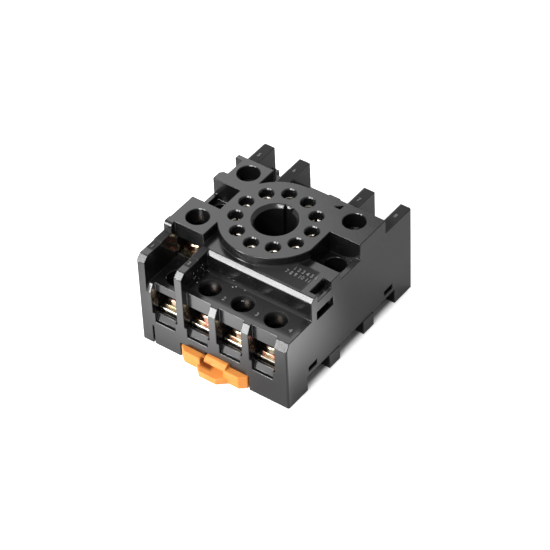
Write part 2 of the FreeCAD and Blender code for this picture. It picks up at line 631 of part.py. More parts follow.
def rail_clip():
    """Orange slider: wings, pry slot and jaw at the front, lip, tongue and spring loop behind."""
    half = CLIP_W / 2
    wing_y = FRONT_Y - CLIP_PROUD
    back_y = CHANNEL_FRONT_Y - TONGUE_CLEAR / 2
    wings = slab([
        (-half, back_y), (-half, FRONT_Y), (-half + WING_CHAMFER, wing_y),
        (half - WING_CHAMFER, wing_y), (half, FRONT_Y), (half, back_y),
    ], CLIP_FLOOR_Z, CLIP_TOP_Z)
    jaw_y = FRONT_Y - JAW_PROUD
    jaw = slab([
        (JAW_X - JAW_W / 2 - JAW_FLARE, wing_y), (JAW_X - JAW_W / 2, jaw_y),
        (JAW_X + JAW_W / 2, jaw_y), (JAW_X + JAW_W / 2 + JAW_FLARE, wing_y),
    ], CLIP_FLOOR_Z, JAW_TOP_Z)
    hood_x = HOOD_X - HOOD_W / 2
    hood = side_prism([
        (FRONT_Y + WALL / 2, CLIP_TOP_Z), (FRONT_Y + WALL / 2, HOOD_TOP_Z),
        (FRONT_Y - HOOD_PROUD, HOOD_TOP_Z), (wing_y, HOOD_NOSE_Z), (wing_y, CLIP_TOP_Z),
    ], hood_x, hood_x + HOOD_W)
    pry_x = PRY_X - PRY_W / 2
    pry = box(pry_x, pry_x + PRY_W, wing_y - SPARE, wing_y + PRY_DEPTH, JAW_TOP_Z, PRY_TOP_Z)
    notch = box(pry_x, hood_x, wing_y - SPARE, FRONT_Y - HOOD_PROUD, JAW_TOP_Z, CLIP_TOP_Z + SPARE)
    lip = box(-half + WING_CHAMFER, half - WING_CHAMFER, back_y, back_y + CLIP_LIP_REACH,
              CLIP_LIP_BOTTOM_Z, CLIP_LIP_BOTTOM_Z + CLIP_LIP_T)
    tongue_z = RAIL_PLANE_Z + TONGUE_CLEAR
    flange_top = BASE_TOP_Z - TONGUE_CLEAR
    step_y = FRONT_Y + WALL + CLIP_TRAVEL + STOP_SPARE
    loop_y = CHANNEL_FRONT_Y + LOOP_START
    neck = box(-TONGUE_W / 2, TONGUE_W / 2, FRONT_Y, step_y + TONGUE_STEP_T, CLIP_TOP_Z, HOOD_TOP_Z)
    step = box(-TONGUE_W / 2, TONGUE_W / 2, step_y, step_y + TONGUE_STEP_T, CLIP_TOP_Z, flange_top)
    tongue = box(-TONGUE_W / 2, TONGUE_W / 2, step_y, loop_y + LOOP_T, tongue_z, flange_top)
    flange = box(-TONGUE_FLANGE_W / 2, TONGUE_FLANGE_W / 2, step_y, loop_y + LOOP_T,
                 flange_top - TONGUE_FLANGE_T, flange_top)
    loop = spring_loop(loop_y, tongue_z, flange_top)
    return joined([wings, jaw, hood, lip, neck, step, tongue, flange, loop]).cut([pry, notch])


def spring_loop(y0, z0, z1):
    """Closed springy loop at the end of the tongue, with round ends."""
    front_y = y0 + LOOP_W / 2
    rear_y = front_y + LOOP_STRAIGHT

    def oval(radius):
        return joined([
            post(0, front_y, radius, z0, z1),
            post(0, rear_y, radius, z0, z1),
            box(-radius, radius, front_y, rear_y, z0, z1),
        ])

    return oval(LOOP_W / 2).cut(oval(LOOP_W / 2 - LOOP_T))


def terminal_screw(t):
    """Captive clamp screw with a slotted head."""
    under = t.plate_z + WASHER_T + 2 * SEAT_GAP
    top = under + HEAD_H
    head = post(t.x, t.y, HEAD_R, under, top)
    shank = post(t.x, t.y, SCREW_R, under - SCREW_LEN, under)
    slot = box(t.x - HEAD_R - SPARE, t.x + HEAD_R + SPARE,
               t.y - SLOT_DRIVE_W / 2, t.y + SLOT_DRIVE_W / 2, top - SLOT_DRIVE_DEPTH, top + SPARE)
    return joined([head, shank]).cut(slot)


def clamp_washer(t):
    """Square pressure washer, loose on its screw."""
    z0 = t.plate_z + SEAT_GAP
    half = WASHER_W / 2
    plate = box(t.x - half, t.x + half, t.y - half, t.y + half, z0, z0 + WASHER_T)
    return plate.cut(post(t.x, t.y, SCREW_R + WASHER_HOLE_CLEAR, z0 - SPARE, z0 + WASHER_T + SPARE))


def export(name, shape):
    """Write one piece, moved to the frame that the whole socket is given in."""
    moved = shape.copy()
    moved.translate(FRAME_SHIFT)
    if len(moved.Solids) != 1 or not moved.isValid():
        raise ValueError("%s holds %d solids, valid: %s" % (name, len(moved.Solids), moved.isValid()))
    moved.Solids[0].exportStep("parts/%s.step" % name)
    print("%-20s %9.1f mm3" % (name, moved.Volume))


os.makedirs("parts", exist_ok=True)
export("housing", housing())
export("base_plate", base_plate())
export("rail_clip", rail_clip())
for number, terminal in enumerate(TERMINALS, 1):
    export("contact_%02d" % number, contact(terminal))
    export("clamp_washer_%02d" % number, clamp_washer(terminal))
    export("terminal_screw_%02d" % number, terminal_screw(terminal))
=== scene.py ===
"""Looks of an eleven-pin relay socket: finishes, mouldings, clamp screws, numerals and studio."""

import logging
import math
from collections.abc import Callable
from dataclasses import dataclass
from enum import Enum

import bpy
from mathutils import Matrix, Vector


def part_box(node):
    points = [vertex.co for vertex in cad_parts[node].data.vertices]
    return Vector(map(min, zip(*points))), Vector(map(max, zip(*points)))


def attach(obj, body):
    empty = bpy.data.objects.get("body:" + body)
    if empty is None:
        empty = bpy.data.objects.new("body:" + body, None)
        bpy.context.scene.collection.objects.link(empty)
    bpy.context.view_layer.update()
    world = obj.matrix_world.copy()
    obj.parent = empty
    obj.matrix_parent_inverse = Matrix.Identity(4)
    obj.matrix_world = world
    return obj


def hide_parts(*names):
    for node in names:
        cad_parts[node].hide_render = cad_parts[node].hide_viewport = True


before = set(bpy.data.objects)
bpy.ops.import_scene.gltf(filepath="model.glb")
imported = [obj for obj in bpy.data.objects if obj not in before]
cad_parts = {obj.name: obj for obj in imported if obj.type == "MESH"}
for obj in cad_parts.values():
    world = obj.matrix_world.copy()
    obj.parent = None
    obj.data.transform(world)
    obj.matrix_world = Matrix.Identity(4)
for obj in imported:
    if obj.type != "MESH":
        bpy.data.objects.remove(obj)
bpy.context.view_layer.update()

LOG = logging.getLogger("socket")
IMAGE_PX = 550
SENSOR_MM = 36.0
MM = 0.001                     # a millimetre in metres

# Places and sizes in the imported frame, in millimetres
BODY_CENTRE_Y_MM = 1.675       # middle of the moulded body
SEAT_Y_MM = 2.175              # middle of the relay seat
SEAT_Z_MM = 29.0
PIN_CIRCLE_MM = 19.05
PIN_HOLE_R_MM = 1.7
ACCESS_R_MM = 2.8
DECK_Z_MM = {
    1: 18.3, 2: 20.0, 3: 20.0, 4: 20.0, 5: 18.3, 6: 19.1,
    7: 19.1, 8: 18.3, 9: 29.0, 10: 29.0, 11: 29.0,
}
FIN_X_MM = (-19.8, -9.4, 9.4, 19.8)
FIN_Z_MM = 25.0
WALL_X_MM = (-20.2, -9.4)      # tall front walls
WALL_Z_MM = 26.15
SHELF_Z_MM = 26.4
NEAR_MM = 0.03                 # a point this close to a line lies on it

PIN_COUNT = 11
TERMINAL_COUNT = 11
LOWER_COUNT = 8                # terminals 1 to 8 are the low ones
SCREW_NODE = "terminal_screw_%02d"
WASHER_NODE = "clamp_washer_%02d"
CONTACT_NODE = "contact_%02d"

Span = tuple[float, float]
Point = tuple[float, float, float]
Colour = tuple[float, float, float]
Inputs = dict[str | int, object]
Piece = bpy.types.Object
Socket = bpy.types.NodeSocket
Tree = bpy.types.ShaderNodeTree


class Slot(Enum):
    """Material slots of the record."""

    HOUSING = "housing_plastic"
    BASE = "base_plastic"
    CLIP = "clip_plastic"
    CONTACT = "contact_metal"
    WASHER = "washer_steel"
    SCREW = "screw_steel"


class Element(Enum):
    """Kinds of mesh element that can be selected."""

    POINT = "VERT"
    EDGE = "EDGE"
    FACE = "FACE"


# Shader nodes


class Web:
    """Short way to add and join nodes in one tree."""

    def __init__(self, tree: bpy.types.NodeTree) -> None:
        """Keeps the tree."""
        self.tree = tree

    def end(self, kind: str) -> bpy.types.Node:
        """Returns the tree's first node of a type."""
        return next(node for node in self.tree.nodes if node.bl_idname == kind)

    def feed(self, node: bpy.types.Node, inputs: Inputs) -> None:
        """Sets or links the inputs of a node.

        Args:
            node: node to feed.
            inputs: a value, or a socket to link from, for each input by name or number.
        """
        for label, value in inputs.items():
            if isinstance(value, Socket):
                self.tree.links.new(value, node.inputs[label])
            else:
                node.inputs[label].default_value = value

    def add(self, kind: str, inputs: Inputs | None = None, **settings: object) -> bpy.types.Node:
        """Adds a node.

        Args:
            kind: type of the node.
            inputs: values or sockets for its inputs, by name or number.
            settings: properties to set on it first.

        Returns:
            The new node.
        """
        node = self.tree.nodes.new(kind)
        for label, value in settings.items():
            setattr(node, label, value)
        self.feed(node, inputs or {})
        return node

    def sum(self, operation: str, *values: object) -> Socket:
        """Adds a sum on numbers or sockets and returns its result."""
        return self.add("ShaderNodeMath", dict(enumerate(values)), operation=operation).outputs[0]

    def vector_sum(self, operation: str, *values: object) -> Socket:
        """Adds a sum on vectors and returns its result."""
        return self.add("ShaderNodeVectorMath", dict(enumerate(values)),
                        operation=operation).outputs["Vector"]

    def remap(self, value: Socket, source: tuple[object, object] = (0.0, 1.0),
              target: Span = (0.0, 1.0), **settings: object) -> Socket:
        """Maps one range of a value onto another.

        Args:
            value: socket that gives the value.
            source: ends of the range that it has, as numbers or sockets.
            target: ends of the range that it gets.
            settings: properties of the node.

        Returns:
            The mapped value.
        """
        return self.add("ShaderNodeMapRange", {
            "Value": value, "From Min": source[0], "From Max": source[1],
            "To Min": target[0], "To Max": target[1],
        }, **settings).outputs["Result"]

    def blend(self, mask: Socket, under: Socket | Colour, over: Colour) -> Socket:
        """Lays a colour over another where a mask is set.

        Args:
            mask: socket of the mask.
            under: colour, or its socket, where the mask is 0.
            over: colour where it is 1.

        Returns:
            The blended colour.
        """
        if isinstance(under, tuple):
            under = (*under, 1)
        return self.add("ShaderNodeMix", {"Factor": mask, "A": under, "B": (*over, 1)},
                        data_type="RGBA").outputs["Result"]

    def bump(self, height: Socket, deep_mm: float, under: Socket | None = None) -> Socket:
        """Turns a height into a normal.

        Args:
            height: socket of the height.
            deep_mm: what a height of 1 stands for.
            under: normal that it comes on top of, if any.

        Returns:
            The new normal.
        """
        inputs: Inputs = {"Height": height, "Strength": 1.0, "Distance": deep_mm * MM}
        if under is not None:
            inputs["Normal"] = under
        return self.add("ShaderNodeBump", inputs).outputs["Normal"]

    def use(self, group: Tree, output: str, inputs: Inputs) -> Socket:
        """Places a shared group and returns one of its outputs."""
        return self.add("ShaderNodeGroup", inputs, node_tree=group).outputs[output]


class Group(Web):
    """A shader node group under construction."""

    def __init__(self, name: str, inputs: dict[str, float], output: str) -> None:
        """Makes the group with float sockets.

        Args:
            name: name of the group.
            inputs: its inputs with their defaults.
            output: name of its output.
        """
        tree = bpy.data.node_groups.new(name, "ShaderNodeTree")
        super().__init__(tree)
        for label, value in inputs.items():
            socket = tree.interface.new_socket(label, in_out="INPUT", socket_type="NodeSocketFloat")
            socket.default_value = value
        tree.interface.new_socket(output, in_out="OUTPUT", socket_type="NodeSocketFloat")
        self.given = self.add("NodeGroupInput").outputs
        self.place = self.add("ShaderNodeTexCoord").outputs["Object"]

    def noise(self, scale: float | Socket, detail: float = 2.0, rough: float = 0.5) -> Socket:
        """Adds a noise texture on Object coordinates.

        Args:
            scale: its scale, or the socket that gives it.
            detail: number of finer layers.
            rough: weight of the finer layers.

        Returns:
            The level of the noise.
        """
        return self.add("ShaderNodeTexNoise", {
            "Vector": self.place, "Scale": scale, "Detail": detail, "Roughness": rough,
        }).outputs["Fac"]

    def finish(self, result: Socket) -> Tree:
        """Links the group's output and returns the group."""
        self.add("NodeGroupOutput", {0: result})
        return self.tree


def grain_group() -> Tree:
    """Makes a group: fine grain with a broader waviness under it, as a height.

    Returns:
        The group.
    """
    web = Group("surface_grain", {"Scale": 3000.0, "Broad Share": 0.4, "Broad Scale": 260.0},
                "Height")
    fine = web.noise(web.given["Scale"], detail=3.0, rough=0.6)
    broad = web.noise(web.given["Broad Scale"])
    mixed = web.add("ShaderNodeMix", {"Factor": web.given["Broad Share"], "A": fine, "B": broad})
    return web.finish(mixed.outputs["Result"])


def dust_group() -> Tree:
    """Makes a group: small scattered specks in loose patches, as a mask.

    Returns:
        The group.
    """
    web = Group("dust_specks", {
        "Scale": 1100.0, "Size": 0.12, "Patch Scale": 110.0, "Patch": 0.5,
    }, "Mask")
    cells = web.add("ShaderNodeTexVoronoi", {"Vector": web.place, "Scale": web.given["Scale"]})
    speck = web.sum("LESS_THAN", cells.outputs["Distance"], web.given["Size"])
    patch = web.sum("GREATER_THAN", web.noise(web.given["Patch Scale"]), web.given["Patch"])
    return web.finish(web.sum("MULTIPLY", speck, patch))


def cloud_group() -> Tree:
    """Makes a group: slow cloudy change between 0 and 1, as a value.

    Returns:
        The group.
    """
    web = Group("cloudy_change", {"Scale": 120.0}, "Value")
    noise = web.noise(web.given["Scale"], detail=4.0, rough=0.55)
    return web.finish(web.remap(noise, source=(0.3, 0.7)))


def box_group() -> Tree:
    """Makes a group: inside of a box with soft sides, as a mask; sizes in metres.

    Returns:
        The group.
    """
    web = Group("box_zone", {
        "X": 0.0, "Y": 0.0, "Z": 0.0,
        "Half X": 0.001, "Half Y": 0.001, "Half Z": 0.001, "Soft": 0.0002,
    }, "Mask")
    middle = web.add("ShaderNodeCombineXYZ", {axis: web.given[axis] for axis in "XYZ"})
    half = web.add("ShaderNodeCombineXYZ", {axis: web.given["Half " + axis] for axis in "XYZ"})
    away = web.vector_sum("SUBTRACT", web.place, middle.outputs[0])
    over = web.vector_sum("SUBTRACT", web.vector_sum("ABSOLUTE", away), half.outputs[0])
    apart = web.add("ShaderNodeSeparateXYZ", {0: over}).outputs
    outside = web.sum("MAXIMUM", web.sum("MAXIMUM", apart["X"], apart["Y"]), apart["Z"])
    return web.finish(web.remap(outside, (0.0, web.given["Soft"]), (1.0, 0.0)))


@dataclass(frozen=True)
class Effects:
    """Shader node groups that the finishes share."""

    grain: Tree
    dust: Tree
    cloud: Tree
    box: Tree


def make_effects() -> Effects:
    """Builds the shared groups once."""
    return Effects(grain_group(), dust_group(), cloud_group(), box_group())


@dataclass(frozen=True)
class Zone:
    """A box in the socket's frame where a finish changes, in millimetres."""

    middle: Point
    half: Point
    soft: float = 0.3

    def mask(self, web: Web, effects: Effects) -> Socket:
        """Adds the zone's mask to a material.

        Args:
            web: the material's nodes.
            effects: shared node groups.

        Returns:
            The mask, 1 inside the zone.
        """
        values: Inputs = {"Soft": self.soft * MM}
        for axis, middle, half in zip("XYZ", self.middle, self.half):
            values |= {axis: middle * MM, "Half " + axis: half * MM}
        return web.use(effects.box, "Mask", values)


def joined_masks(web: Web, effects: Effects, zones: tuple[Zone, ...]) -> Socket:
    """Adds the masks of some zones to a material.

    Args:
        web: the material's nodes.
        effects: shared node groups.
        zones: zones to join.

    Returns:
        The greatest of the masks at each point.
    """
    mask = zones[0].mask(web, effects)
    for zone in zones[1:]:
        mask = web.sum("MAXIMUM", mask, zone.mask(web, effects))
    return mask


@dataclass(frozen=True)
class Finish:
    """A surface finish: colour between two tones, roughness band, grain, tint, zones of painted
    shade, dust and matte zones.
    """

    name: str
    dark: Colour
    pale: Colour
    rough: Span
    metallic: float = 0.0
    specular: float = 0.5
    cloud_scale: float = 120.0
    grain_scale: float = 3000.0
    broad_share: float = 0.4
    broad_scale: float = 260.0
    grain_mm: float = 0.004
    tint: Colour | None = None
    tint_scale: float = 500.0
    tint_span: Span = (0.55, 0.75)
    # colour of the painted shade laid inside the zones below
    painted_shade: Colour = (0.0, 0.0, 0.0)
    painted_shade_zones: tuple[Zone, ...] = ()
    dust_size: float = 0.0
    dust_colour: Colour = (0.55, 0.54, 0.52)
    dust_zones: tuple[Zone, ...] = ()
    matte_rough: float = 0.8
    matte_scale: float = 2600.0
    matte_broad_share: float = 0.3
    matte_broad_scale: float = 650.0
    matte_mm: float = 0.12
    matte_zones: tuple[Zone, ...] = ()

    def colour(self, web: Web, effects: Effects, cloud: Socket) -> Socket:
        """Adds the nodes of the colour.

        Args:
            web: the material's nodes.
            effects: shared node groups.
            cloud: value that moves between the two tones.

        Returns:
            The colour, with its tint patches, its painted shade and its dust.
        """
        colour = web.blend(cloud, self.dark, self.pale)
        # Cloudy patches of the tint colour laid over the two tones.
        if self.tint:
            tint_patches = web.use(effects.cloud, "Value", {"Scale": self.tint_scale})
            colour = web.blend(web.remap(tint_patches, self.tint_span), colour, self.tint)
        # Painted shade: inside these zones the colour darkens where shade falls, as in a recess.
        if self.painted_shade_zones:
            colour = web.blend(joined_masks(web, effects, self.painted_shade_zones), colour, self.painted_shade)
        if self.dust_zones:
            specks = web.use(effects.dust, "Mask", {"Size": self.dust_size})
            inside = joined_masks(web, effects, self.dust_zones)
            colour = web.blend(web.sum("MULTIPLY", specks, inside), colour, self.dust_colour)
        return colour

    def material(self, effects: Effects) -> bpy.types.Material:
        """Builds the node material.

        Args:
            effects: shared node groups.

        Returns:
            The finished material.
        """
        made = bpy.data.materials.new(self.name)
        made.use_nodes = True
        web = Web(made.node_tree)
        cloud = web.use(effects.cloud, "Value", {"Scale": self.cloud_scale})
        rough = web.remap(cloud, target=self.rough)
        normal = web.bump(web.use(effects.grain, "Height", {
            "Scale": self.grain_scale, "Broad Share": self.broad_share,
            "Broad Scale": self.broad_scale,
        }), self.grain_mm)
        if self.matte_zones:
            matte = joined_masks(web, effects, self.matte_zones)
            rough = web.add("ShaderNodeMix", {
                "Factor": matte, "A": rough, "B": self.matte_rough,
            }).outputs["Result"]
            coarse = web.use(effects.grain, "Height", {
                "Scale": self.matte_scale, "Broad Share": self.matte_broad_share,
                "Broad Scale": self.matte_broad_scale,
            })
            normal = web.bump(web.sum("MULTIPLY", coarse, matte), self.matte_mm, normal)
        web.feed(web.end("ShaderNodeBsdfPrincipled"), {
            "Base Color": self.colour(web, effects, cloud), "Metallic": self.metallic,
            "Specular IOR Level": self.specular, "Roughness": rough, "Normal": normal,
        })
        return made


FIN_ZONES = tuple(Zone((x, 21.3, FIN_Z_MM), (1.1, 5.6, 0.5)) for x in FIN_X_MM)
WALL_ZONES = (
    Zone((WALL_X_MM[0], -14.6, 26.4), (0.8, 5.0, 0.9)),
    Zone((WALL_X_MM[1], -16.0, 26.4), (0.7, 3.6, 0.9)),
)
SHELF_ZONE = Zone((10.7, -8.3, SHELF_Z_MM), (6.2, 3.3, 0.2), 0.6)
DECK_ZONE = Zone((6.0, -16.2, 20.0), (13.0, 3.0, 0.3), 1.5)
DUST_ZONE = Zone((-3.0, -15.2, 21.6), (9.0, 3.9, 3.4), 0.5)
# Painted shade: the recess of the rail clip's pry slot, under its hood.
PRY_SHADE_ZONE = Zone((-1.7, -23.5, 2.75), (1.0, 1.0, 0.7), 1.0)

HOUSING_BLACK = Finish(
    "housing_black", (0.004, 0.004, 0.0044), (0.0075, 0.0075, 0.0075), (0.17, 0.24),
    grain_mm=0.011, dust_size=0.17, dust_zones=(DUST_ZONE,),
    matte_zones=(*FIN_ZONES, *WALL_ZONES, SHELF_ZONE, DECK_ZONE))
BASE_BLACK = Finish("base_black", (0.005, 0.005, 0.0055), (0.009, 0.009, 0.009), (0.26, 0.34))
# Numerals: a grey far paler than the black moulding, a painted highlight for the glints that the
# raised figures catch.
NUMERAL_PAINTED_HIGHLIGHT = Finish("numeral_painted_highlight", (0.09, 0.09, 0.087), (0.18, 0.18, 0.174), (0.30, 0.42),
                      cloud_scale=900.0)
# The clip's dark colour in the pry zone is painted shade in the slot's recess.
CLIP_ORANGE = Finish(
    "clip_orange", (0.62, 0.21, 0.038), (0.70, 0.28, 0.068), (0.42, 0.52), specular=0.2,
    cloud_scale=260.0, grain_mm=0.003, painted_shade=(0.17, 0.03, 0.005), painted_shade_zones=(PRY_SHADE_ZONE,))
CONTACT_METAL = Finish(
    "contact_metal", (0.22, 0.20, 0.16), (0.56, 0.52, 0.45), (0.18, 0.30), metallic=1.0,
    cloud_scale=400.0, grain_scale=1500.0, grain_mm=0.002)
WASHER_STEEL = Finish(
    "washer_steel", (0.14, 0.11, 0.06), (0.46, 0.40, 0.28), (0.14, 0.28), metallic=1.0,
    cloud_scale=700.0, grain_scale=1800.0, tint=(0.36, 0.09, 0.07))
SCREW_STEEL = Finish(
    "screw_steel", (0.12, 0.09, 0.05), (0.44, 0.37, 0.26), (0.14, 0.28), metallic=1.0,
    cloud_scale=700.0, grain_scale=1800.0, tint=(0.34, 0.07, 0.06))


# Modelling helpers


def deselect() -> None:
    """Leaves edit mode and deselects every object."""
    if bpy.context.object and bpy.context.object.mode != "OBJECT":
        bpy.ops.object.mode_set(mode="OBJECT")
    bpy.ops.object.select_all(action="DESELECT")


def activate(piece: Piece) -> None:
    """Selects one object and makes it active.

    Args:
        piece: object to work on.
    """
    deselect()
    piece.select_set(True)
    bpy.context.view_layer.objects.active = piece


def settle(piece: Piece) -> None:
    """Puts the object's place, turn and scale into its mesh."""
    activate(piece)
    bpy.ops.object.transform_apply(location=True, rotation=True, scale=True)


def copy_of(source: Piece, name: str) -> Piece:
    """Makes a copy with its own mesh, free of parents.

    Args:
        source: object to copy.
        name: name of the copy.

    Returns:
        The copy.
    """
    copy = bpy.data.objects.new(name, source.data.copy())
    bpy.context.scene.collection.objects.link(copy)
    return copy


def discard(piece: Piece) -> None:
    """Deletes a pattern or a cutter."""
    bpy.data.objects.remove(piece, do_unlink=True)


def modify(piece: Piece, kind: str, **settings: object) -> None:
    """Adds a modifier, sets it and applies it.

    Args:
        piece: object to change.
        kind: type of the modifier.
        settings: its properties.
    """
    activate(piece)
    modifier = piece.modifiers.new(kind.lower(), kind)
    for label, value in settings.items():
        setattr(modifier, label, value)
    bpy.ops.object.modifier_apply(modifier=modifier.name)


def smooth(piece: Piece, angle_deg: float) -> None:
    """Shades smooth what lies between edges sharper than the angle."""
    activate(piece)
    bpy.ops.object.shade_smooth_by_angle(angle=math.radians(angle_deg))


def leave() -> None:
    """Leaves edit mode."""
    bpy.ops.object.mode_set(mode="OBJECT")


def choose(piece: Piece, element: Element, wanted: Callable[..., bool]) -> None:
    """Selects the elements of a mesh that pass a test, and stays in edit mode.

    Args:
        piece: object at work.
        element: kind of element.
        wanted: test of one such element.
    """
    activate(piece)
    bpy.ops.object.mode_set(mode="EDIT")
    bpy.ops.mesh.select_mode(type=element.value)
    bpy.ops.mesh.select_all(action="DESELECT")
    leave()
    mesh = piece.data
    items = {Element.POINT: mesh.vertices, Element.EDGE: mesh.edges, Element.FACE: mesh.polygons}
    for item in items[element]:
        item.select = wanted(item)
    bpy.ops.object.mode_set(mode="EDIT")


def ends(piece: Piece, edge: bpy.types.MeshEdge) -> list[Vector]:
    """Returns the two ends of an edge."""
    return [piece.data.vertices[k].co for k in edge.vertices]


def near(first: float, second: float) -> bool:
    """Tells whether two places on one axis, in metres, agree."""
    return abs(first - second) < NEAR_MM * MM


def round_edges(piece: Piece, width_mm: float, segments: int,
                angle_deg: float | None = None) -> None:
    """Rounds the sharp edges, with flat shading kept on what lies between them.

    Args:
        piece: object to dress.
        width_mm: width of the rounding.
        segments: faces across it.
        angle_deg: edges sharper than this are rounded; without it, those with a bevel weight.
    """
    limit: dict[str, object] = {"limit_method": "WEIGHT"}
    if angle_deg is not None:
        limit = {"limit_method": "ANGLE", "angle_limit": math.radians(angle_deg)}
    modify(piece, "BEVEL", width=width_mm * MM, segments=segments, use_clamp_overlap=False,
           miter_outer="MITER_ARC", **limit)
    modify(piece, "WEIGHTED_NORMAL", weight=100, keep_sharp=True)


def dress(piece: Piece, material: bpy.types.Material, body: str,
          node: str | None = None) -> None:
    """Gives a piece its finish and its body, and hides the node that it stands for.

    Args:
        piece: finished piece.
        material: its finish.
        body: body that it rides on.
        node: node that it replaces, if any.
    """
    piece.data.materials.clear()
    piece.data.materials.append(material)
    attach(piece, body)
    if node:
        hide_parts(node)
    LOG.info("%s: %d faces", piece.name, len(piece.data.polygons))


def node_centre(node: str) -> Vector:
    """Returns the middle of a node's box in plan, at its top."""
    low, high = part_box(node)
    return Vector(((low[0] + high[0]) / 2, (low[1] + high[1]) / 2, high[2]))


def screw_axis_mm(number: int) -> Vector:
    """Returns the place of a terminal's screw, in millimetres."""
    return node_centre(SCREW_NODE % number) / MM


# Sub-assemblies


@dataclass(frozen=True)
class Rim:
    """The round edge of a hole's mouth, which gets a wider lead-in; in millimetres."""

    middle: Point
    radius: float
    lead: float
    reach: float = 0.3             # what lies this near belongs to the lead-in

    def within(self, point: Vector, reach: float) -> bool:
        """Tells whether a point of the mesh lies near the edge.

        Args:
            point: point of the mesh, in metres.
            reach: greatest distance, in height and in radius.

        Returns:
            True where it does.
        """
        x, y, z = point / MM
        away = math.hypot(x - self.middle[0], y - self.middle[1])
        return abs(z - self.middle[2]) < reach and abs(away - self.radius) < reach


def pin_rims(lead_mm: float = 0.25) -> tuple[Rim, ...]:
    """Finds the mouths of the eleven pin holes.

    Args:
        lead_mm: width of their lead-in.

    Returns:
        The rims, round the pin circle.
    """
    rims = []
    for number in range(PIN_COUNT):
        turn = math.radians(-90 + number * 360 / PIN_COUNT)
        x, y = PIN_CIRCLE_MM / 2 * math.cos(turn), PIN_CIRCLE_MM / 2 * math.sin(turn)
        rims.append(Rim((x, SEAT_Y_MM + y, SEAT_Z_MM), PIN_HOLE_R_MM, lead_mm))
    return tuple(rims)


def access_rims(lead_mm: float = 0.16) -> tuple[Rim, ...]:
    """Finds the mouths of the screwdriver holes over the screws.

    Args:
        lead_mm: width of their lead-in.

    Returns:
        The rims, in the order of the terminals.
    """
    rims = []
    for number in range(1, TERMINAL_COUNT + 1):
        axis = screw_axis_mm(number)
        rims.append(Rim((axis.x, axis.y, DECK_Z_MM[number]), ACCESS_R_MM, lead_mm))
    return tuple(rims)


@dataclass
class FramePiece:
    """A moulded or stamped piece taken from the frame, with its sharp edges rounded."""

    node: str
    name: str
    body: str
    slot: Slot
    edge_mm: float = 0.14
    segments: int = 2
    crease_deg: float = 32.0       # sharper edges are rounded
    crisp_deg: float = 20.0        # sharper edges along X stay crisp
    along_x: float = 0.99          # least share of X in the run of such an edge
    weld_mm: float = 0.02
    flat_deg: float = 0.4
    rims: tuple[Rim, ...] = ()

    def reshape(self, piece: Piece) -> None:
        """Gives the mouths of the holes their lead-ins.

        Args:
            piece: copy of the node.
        """
        for rim in self.rims:
            choose(piece, Element.EDGE, lambda edge, rim=rim: all(
                rim.within(end, NEAR_MM) for end in ends(piece, edge)))
            bpy.ops.mesh.bevel(offset=rim.lead * MM, segments=1, affect="EDGES")
            leave()

    def mark_edges(self, piece: Piece) -> None:
        """Marks shallow edges that run across the piece as sharp, and the edges to be rounded.

        Args:
            piece: copy of the node, reshaped.
        """
        mesh = piece.data
        beside: dict[tuple[int, int], list[Vector]] = {}
        for face in mesh.polygons:
            for key in face.edge_keys:
                beside.setdefault(key, []).append(face.normal)
        weights = mesh.attributes.new("bevel_weight_edge", "FLOAT", "EDGE")
        for edge in mesh.edges:
            first, last = ends(piece, edge)
            run = last - first
            normals = beside.get(edge.key, [])
            if len(normals) != 2:
                continue
            turn_deg = math.degrees(normals[0].angle(normals[1], 0.0))
            if abs(run.x) > self.along_x * run.length and turn_deg > self.crisp_deg:
                edge.use_edge_sharp = True
            if turn_deg > self.crease_deg and not any(
                    rim.within(first, rim.reach) for rim in self.rims):
                weights.data[edge.index].value = 1.0

    def build(self, material: bpy.types.Material) -> None:
        """Copies the node, joins its facets, rounds its edges and dresses it.

        Args:
            material: finish of the piece.
        """
        piece = copy_of(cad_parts[self.node], self.name)
        activate(piece)
        bpy.ops.object.mode_set(mode="EDIT")
        bpy.ops.mesh.select_all(action="SELECT")
        bpy.ops.mesh.remove_doubles(threshold=self.weld_mm * MM)
        bpy.ops.mesh.dissolve_limited(angle_limit=math.radians(self.flat_deg))
        leave()
        self.reshape(piece)
        smooth(piece, self.crease_deg)
        self.mark_edges(piece)
        round_edges(piece, self.edge_mm, self.segments)
        dress(piece, material, self.body, self.node)


